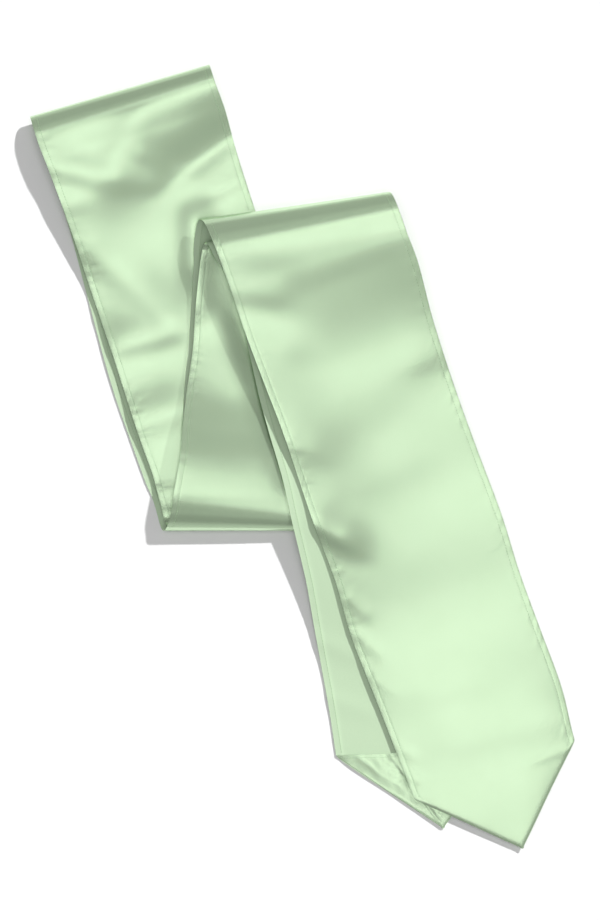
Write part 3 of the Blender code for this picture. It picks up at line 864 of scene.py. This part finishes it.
for name, facing in facings.items():
    stretch = facing["stretch"]
    piece, point = strips[stretch["node"]], points[stretch["node"]]
    behind, height = facingRows(pointPart(piece["rows"], point), pointPart(piece["shares"], point), facing)
    side = -1.0 if stretch["satin"] == "up" else 1.0
    behind = raised(behind, side * height)
    if surfaceNormals(behind)[..., 2].mean() * side < 0.0:
        behind = behind[:, ::-1]     # its satin looks away from the point
    shape = behind.shape[:2]
    u = np.repeat(np.linspace(0.0, strip["width"] * millimetre, shape[1])[None, :], shape[0], axis=0)
    v = np.repeat(np.linspace(0.0, facingShape["height"] * millimetre, shape[0])[:, None], shape[1], axis=1)
    shell = clothShell(name + "_cloth", behind, u, v, np.zeros(shape))
    addPiece(shell, name)
    facing["rows"] = behind
    print(name, "is cloth,", len(shell.data.polygons), "faces")

stitch = dict(
    length=1.75, pitch=2.5, inset=1.5,    # the first stitch is this far from the end
    thickness=0.42, sides=5,
    lift=0.02,           # above the cloth
    endSize=0.45, endDip=0.6,     # of the thread's half thickness, where it enters the cloth
    middleRise=0.35,
)


def stitchPlaces(line, normals, side):
    # both ends, the middle and the outward normal of each stitch along a line
    run = np.concatenate(([0.0], np.cumsum(np.linalg.norm(np.diff(line, axis=0), axis=1))))
    middles = np.arange(stitch["inset"], run[-1] - stitch["inset"], stitch["pitch"])

    def at(places, values):
        return np.column_stack([np.interp(places, run, values[:, axis]) for axis in range(3)])

    outward = side * at(middles, normals)
    outward /= np.linalg.norm(outward, axis=1)[:, None]
    reach = 0.5 * stitch["length"]
    return at(middles - reach, line), at(middles, line), at(middles + reach, line), outward


def stitchMesh(name, lines):
    # each stitch is a short thread, thin where it enters the cloth at both ends
    mesh = bpy.data.meshes.new(name)
    build = bmesh.new()
    radius, sides = 0.5 * stitch["thickness"], stitch["sides"]
    for before, middle, after, outward in lines:
        heading = after - before
        heading /= np.linalg.norm(heading, axis=1)[:, None]
        sideways = np.cross(heading, outward)
        sizes = stitch["endSize"], 1.0, stitch["endSize"]
        rises = -stitch["endDip"], stitch["middleRise"], -stitch["endDip"]
        for index in range(len(middle)):
            rings = []
            for place, size, rise in zip((before, middle, after), sizes, rises):
                centre = place[index] + outward[index] * radius * rise
                ring = []
                for turn in range(sides):
                    angle = 2.0 * math.pi * turn / sides
                    reach = math.cos(angle) * sideways[index] + math.sin(angle) * outward[index]
                    ring.append(build.verts.new((centre + reach * radius * size) * millimetre))
                rings.append(ring)
            for first, second in zip(rings[:-1], rings[1:]):
                for turn in range(sides):
                    build.faces.new((first[turn], first[turn - 1], second[turn - 1], second[turn]))
            build.faces.new(rings[0])
            build.faces.new(rings[-1][::-1])
    build.to_mesh(mesh)
    build.free()
    mesh.materials.append(thread)
    mesh.shade_smooth()
    piece = bpy.data.objects.new(name, mesh)
    bpy.context.scene.collection.objects.link(piece)
    addPiece(piece)


for stretch in stretches:
    piece = strips[stretch["node"]]
    hemmed, lines = piece["hem"], []
    for column in (stitchColumn, -1 - stitchColumn):
        line, normals = piece["rows"][hemmed, column], piece["normals"][hemmed, column]
        lines.append(stitchPlaces(line + normals * stitch["lift"], normals, 1.0))
        lines.append(stitchPlaces(line - normals * (strip["hemWall"] + stitch["lift"]), normals, -1.0))
    stitchMesh(stretch["node"] + "_stitches", lines)
for name, facing in facings.items():
    behind = facing["rows"]
    base = 0.7 * behind[2] + 0.3 * behind[1]    # just inside the base edge
    stitchMesh(name + "_stitches", [stitchPlaces(base, surfaceNormals(behind)[2], 1.0)])
print("hems are stitched")

# Floor: matt white painted board, which takes soft shadows and shows no shine
floorLook = dict(
    halfWidth=14.0,      # metres
    drop=0.0002,         # metres below the lowest cloth
    colour="#E7E7E7", roughness=0.9, specular=0.1,
)
floorMesh = bpy.data.meshes.new("floor")
slab = bmesh.new()
bmesh.ops.create_grid(slab, x_segments=1, y_segments=1, size=floorLook["halfWidth"])
slab.to_mesh(floorMesh)
slab.free()
floorPiece = bpy.data.objects.new("floor", floorMesh)
bpy.context.scene.collection.objects.link(floorPiece)
floorPiece.location.z = -floorLook["drop"]
floorMaterial, floorTree = newMaterial("paintedBoard")
floorShader = addNode(floorTree, "ShaderNodeBsdfPrincipled", {
    "Base Color": toLinear(floorLook["colour"]), "Roughness": floorLook["roughness"],
    "Specular IOR Level": floorLook["specular"]})
addNode(floorTree, "ShaderNodeOutputMaterial", None, dict(Surface=floorShader.outputs["BSDF"]))
floorMesh.materials.append(floorMaterial)

# Lights: a low key light for the shadows, and a softbox overhead that the satin mirrors.
# Angles in degrees, sizes and distances in metres, powers in watts.
lighting = dict(
    sunStrength=4.4, sunAzimuth=47.0, sunHeight=30.0, sunAngle=2.0, sunDistance=4.0,
    softboxAzimuth=-62.0, softboxHeight=88.0,
    softboxSize=3.8, softboxDistance=12.0, softboxPower=46.5,
    surroundSize=11.5, surroundDistance=12.2, surroundPower=40.0,    # its soft rim
    fillSize=3.0, fillDistance=3.0, fillPower=33.0,
    walls=0.6, wallsEnd=0.25,          # strength of the studio's pale walls, and how high they reach
    ceiling=0.2, ceilingStart=0.6,     # the same for what is above them; 1 is straight overhead
)


def towards(azimuth, height):
    a, h = math.radians(azimuth), math.radians(height)
    return np.array((math.cos(a) * math.cos(h), math.sin(a) * math.cos(h), math.sin(h)))


def aimedLight(name, kind, direction, distance, energy, size=None):
    lamp = bpy.data.lights.new(name, kind)
    lamp.energy = energy
    holder = bpy.data.objects.new(name, lamp)
    bpy.context.scene.collection.objects.link(holder)
    holder.location = direction * distance
    holder.rotation_euler = (0.0, math.acos(direction[2]), math.atan2(direction[1], direction[0]))
    if kind == "AREA":
        lamp.shape = "DISK"
        lamp.size = size
    return holder


sun = aimedLight("keyLight", "SUN", towards(lighting["sunAzimuth"], lighting["sunHeight"]),
                 lighting["sunDistance"], lighting["sunStrength"])
sun.data.angle = math.radians(lighting["sunAngle"])
overhead = towards(lighting["softboxAzimuth"], lighting["softboxHeight"])
aimedLight("softbox", "AREA", overhead, lighting["softboxDistance"], lighting["softboxPower"],
           lighting["softboxSize"])
aimedLight("softboxSurround", "AREA", overhead, lighting["surroundDistance"],
           lighting["surroundPower"], lighting["surroundSize"])
fill = aimedLight("fillPanel", "AREA", overhead, lighting["fillDistance"], lighting["fillPower"],
                  lighting["fillSize"])
for lamp in (sun, fill):
    lamp.visible_glossy = False    # only the softbox shows in the satin's sheen
world = bpy.data.worlds.new("studio")
world.use_nodes = True
sky = world.node_tree
background = sky.nodes["Background"]
background.inputs["Color"].default_value = toLinear("#FFFFFF")
# the studio's walls are pale, the space above them is darker
outlook = addNode(sky, "ShaderNodeTexCoord")
parted = addNode(sky, "ShaderNodeSeparateXYZ", None, {"Vector": outlook.outputs["Generated"]})
strength = addNode(sky, "ShaderNodeMapRange", {
    "From Min": lighting["wallsEnd"], "From Max": lighting["ceilingStart"],
    "To Min": lighting["walls"], "To Max": lighting["ceiling"]},
    {"Value": parted.outputs["Z"]})
sky.links.new(strength.outputs["Result"], background.inputs["Strength"])
bpy.context.scene.world = world
bpy.context.scene.view_settings.view_transform = "Standard"

# Camera: straight above, with a lens long enough to show no perspective
lens = bpy.data.cameras.new("camera")
lens.sensor_width = 36.0
lens.lens = lens.sensor_width * photo["cameraHeight"] / (photo["height"] * photo["pixelSize"])
camera = bpy.data.objects.new("camera", lens)
bpy.context.scene.collection.objects.link(camera)
camera.location = (photo["middle"][0] * millimetre, photo["middle"][1] * millimetre,
                   photo["cameraHeight"] * millimetre)
bpy.context.scene.camera = camera
print("stage, lights and camera are set")
